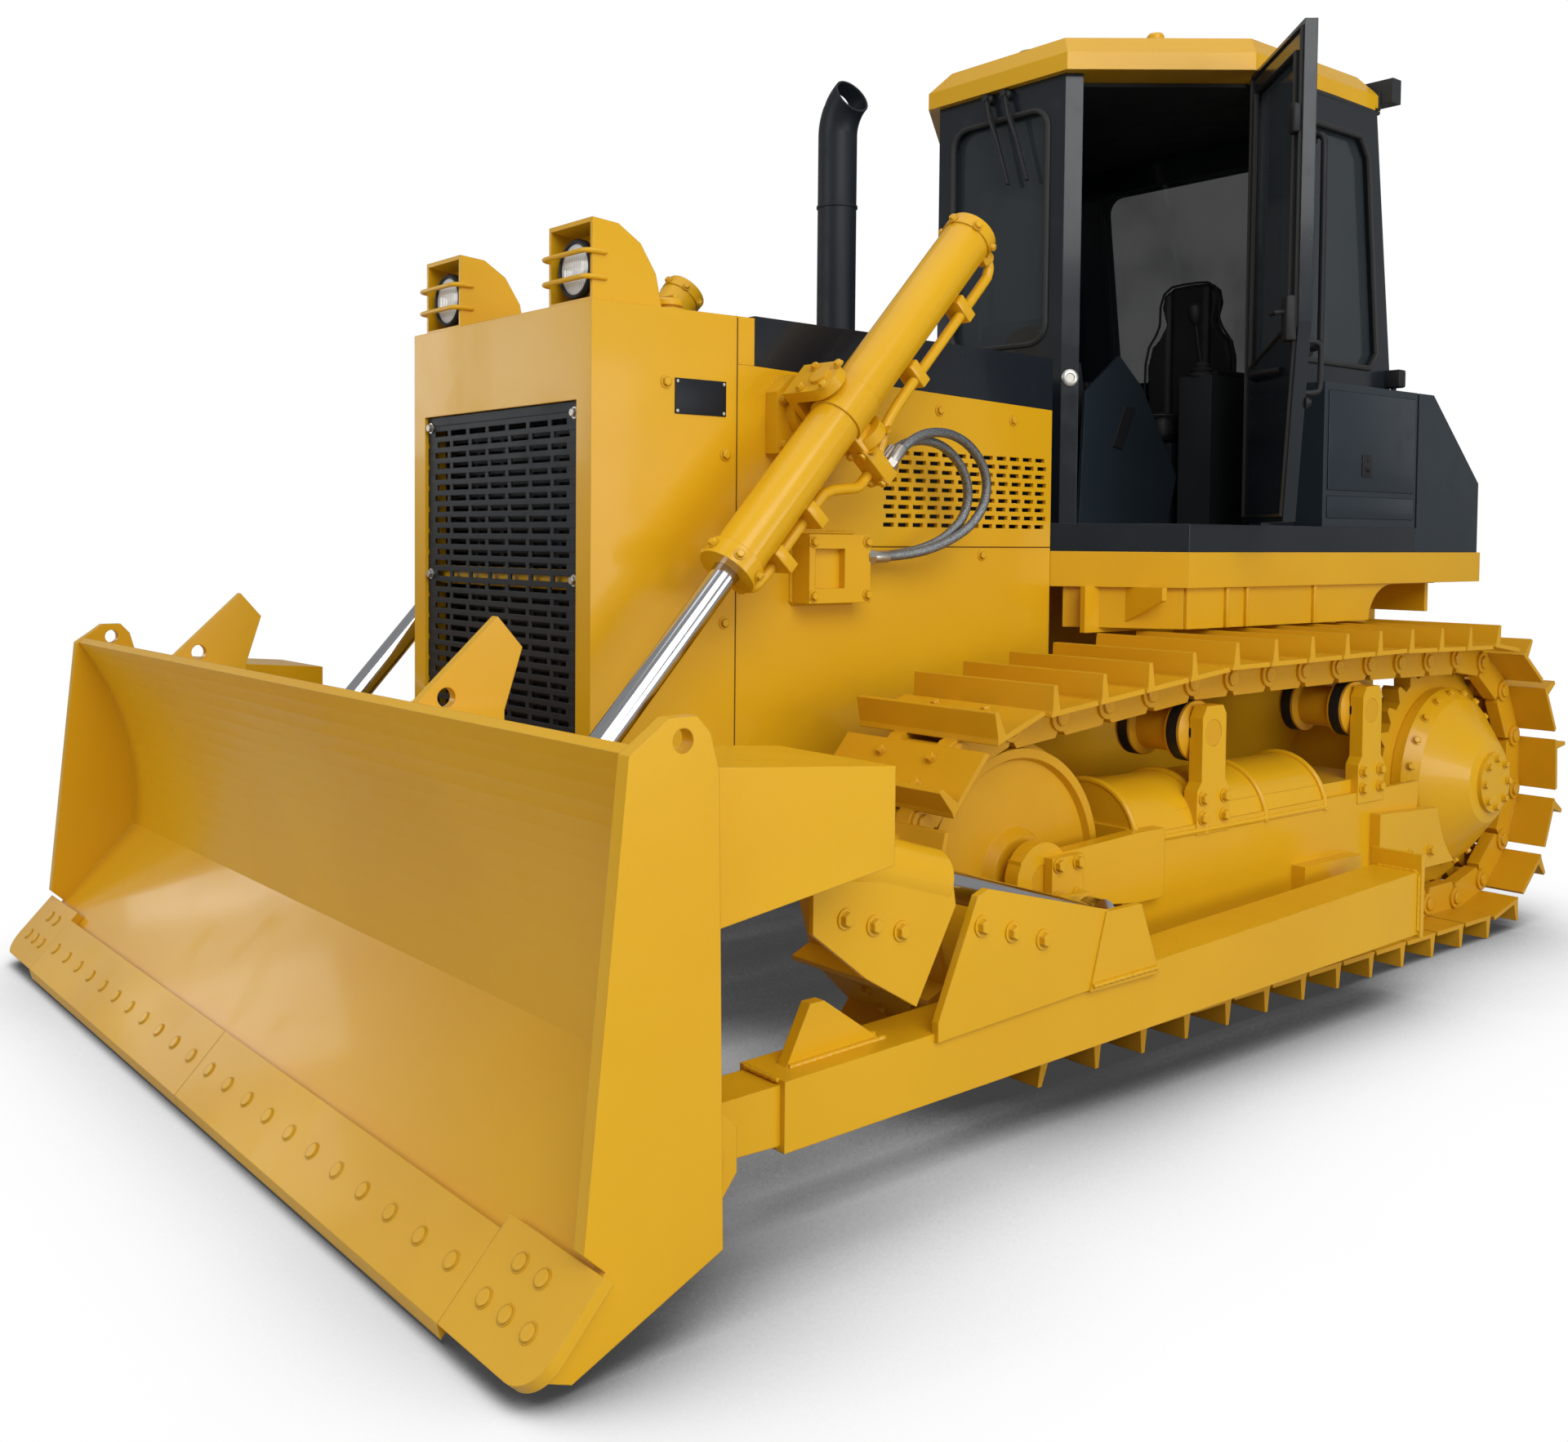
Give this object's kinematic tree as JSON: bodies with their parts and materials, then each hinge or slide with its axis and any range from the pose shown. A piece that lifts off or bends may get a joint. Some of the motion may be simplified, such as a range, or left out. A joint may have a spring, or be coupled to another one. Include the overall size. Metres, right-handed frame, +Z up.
{
  "type": "bulldozer",
  "caption": "Track-laying bulldozer with straight tilting blade, push arms, lift and tilt cylinders, closed cab with hinged doors and a rear drawbar.",
  "frame": {"origin": "on the ground under the middle of the overall box", "axes": "+Z up, the blade faces -Y, the left side of the machine is +X"},
  "size_m": [3.388, 5.0424, 3.2272],
  "materials": {
    "black_paint": "gloss",
    "cab_trim": "matte",
    "edge_paint": "satin",
    "engine_grey": "matte",
    "exhaust_black": "matte",
    "grille_black": "satin",
    "lamp_glass": "clear",
    "rod_chrome": "polished",
    "seat_vinyl": "matte",
    "slate_paint": "satin",
    "track_paint": "satin",
    "window_glass": "clear",
    "yellow_paint": "gloss"
  },
  "bodies": {
    "chassis": {"main_frame": "yellow_paint", "engine_block": "engine_grey", "radiator_guard": "yellow_paint", "radiator_core": "grille_black", "grille": "grille_black", "hood_front": "yellow_paint", "hood_rear": "black_paint", "side_panels": "yellow_paint", "side_sheets": "yellow_paint", "exhaust_stack": "exhaust_black", "head_lamp_housings": "yellow_paint", "head_lamps": "lamp_glass", "lift_brackets": "yellow_paint", "platform": "yellow_paint", "cab_deck": "black_paint", "cab_front": "black_paint", "cab_side_left": "black_paint", "cab_side_right": "black_paint", "cab_rear": "black_paint", "cab_roof": "yellow_paint", "cab_glass": "window_glass", "seat": "seat_vinyl", "seat_base": "cab_trim", "console": "cab_trim", "side_boxes": "slate_paint", "fuel_tank": "slate_paint", "work_lamps": "cab_trim", "drawbar": "yellow_paint", "equalizer_bar": "yellow_paint", "track_frame_left": "yellow_paint", "track_frame_right": "yellow_paint", "idlers": "track_paint", "sprockets": "track_paint", "final_drives": "yellow_paint", "carrier_rollers": "track_paint", "track_rollers": "track_paint", "track_left": "track_paint", "track_right": "track_paint"},
    "lift_carrier": {"trunnion_retainers": "yellow_paint"},
    "blade": {"blade": "yellow_paint", "cutting_edges": "edge_paint", "push_arm_right": "yellow_paint", "brace_right": "yellow_paint"},
    "push_arm_left": {"push_arm_left": "yellow_paint"},
    "tilt_cylinder": {"tilt_cylinder": "yellow_paint"},
    "tilt_rod": {"tilt_rod": "rod_chrome"},
    "lift_cylinder_left": {"lift_cylinder_left": "yellow_paint"},
    "lift_cylinder_right": {"lift_cylinder_right": "yellow_paint"},
    "lift_rod_left": {"lift_rod_left": "rod_chrome"},
    "lift_rod_right": {"lift_rod_right": "rod_chrome"},
    "door_left": {"door_left": "black_paint", "door_left_glass": "window_glass"},
    "door_right": {"door_right": "black_paint", "door_right_glass": "window_glass"}
  },
  "joints": [
    {"name": "blade_lift", "type": "hinge", "parent": "chassis", "child": "lift_carrier", "pos_m": [0, 0.8, 0.3], "axis": [-1, 0, 0], "range_deg": [-9.4, 19]},
    {"name": "blade_tilt", "type": "hinge", "parent": "lift_carrier", "child": "blade", "pos_m": [-1.327, 0.8, 0.3], "axis": [-0.4371, 0.8953, -0.0856], "range_deg": [-7.5, 7.5]},
    {"name": "arm_left_swing", "type": "hinge", "parent": "lift_carrier", "child": "push_arm_left", "pos_m": [1.327, 0.8, 0.3], "axis": [-1, 0, 0], "range_deg": [-3.26, 3.26]},
    {"name": "tilt_cylinder_swing", "type": "hinge", "parent": "blade", "child": "tilt_cylinder", "pos_m": [1.327, -2.03, 0.885], "axis": [1, 0, 0], "range_deg": [-6.06, 6.06]},
    {"name": "tilt_rod_slide", "type": "slide", "parent": "tilt_cylinder", "child": "tilt_rod", "axis": [0, 0.9573, -0.2892], "range_m": [-0.0349, 0.0349]},
    {"name": "lift_swing_left", "type": "hinge", "parent": "chassis", "child": "lift_cylinder_left", "pos_m": [0.698, -0.938, 1.787], "axis": [1, 0, 0], "range_deg": [-23.95, 11.95]},
    {"name": "lift_rod_slide_left", "type": "slide", "parent": "lift_cylinder_left", "child": "lift_rod_left", "axis": [0, -0.6761, -0.7368], "range_m": [-0.7501, 0.3731]},
    {"name": "lift_swing_right", "type": "hinge", "parent": "chassis", "child": "lift_cylinder_right", "pos_m": [-0.698, -0.938, 1.787], "axis": [1, 0, 0], "range_deg": [-23.95, 11.95]},
    {"name": "lift_rod_slide_right", "type": "slide", "parent": "lift_cylinder_right", "child": "lift_rod_right", "axis": [0, -0.6761, -0.7368], "range_m": [-0.7501, 0.3731]},
    {"name": "door_left_hinge", "type": "hinge", "parent": "chassis", "child": "door_left", "pos_m": [0.717, 0.983, 1.49], "axis": [0, 0, 1], "range_deg": [-86, 64]},
    {"name": "door_right_hinge", "type": "hinge", "parent": "chassis", "child": "door_right", "pos_m": [-0.717, 0.983, 1.49], "axis": [0, 0, -1], "range_deg": [0, 150]}
  ],
  "couplings": [
    {"joint": "arm_left_swing", "follows": "blade_tilt", "ratio": -0.4085},
    {"joint": "tilt_cylinder_swing", "follows": "blade_tilt", "ratio": 0.78167},
    {"joint": "tilt_rod_slide", "follows": "blade_tilt", "m_per_rad": -0.25106},
    {"joint": "lift_swing_left", "follows": "blade_lift", "ratio": -1.25},
    {"joint": "lift_rod_slide_left", "follows": "blade_lift", "m_per_rad": -2.25},
    {"joint": "lift_swing_right", "follows": "blade_lift", "ratio": -1.25},
    {"joint": "lift_rod_slide_right", "follows": "blade_lift", "m_per_rad": -2.25}
  ]
}
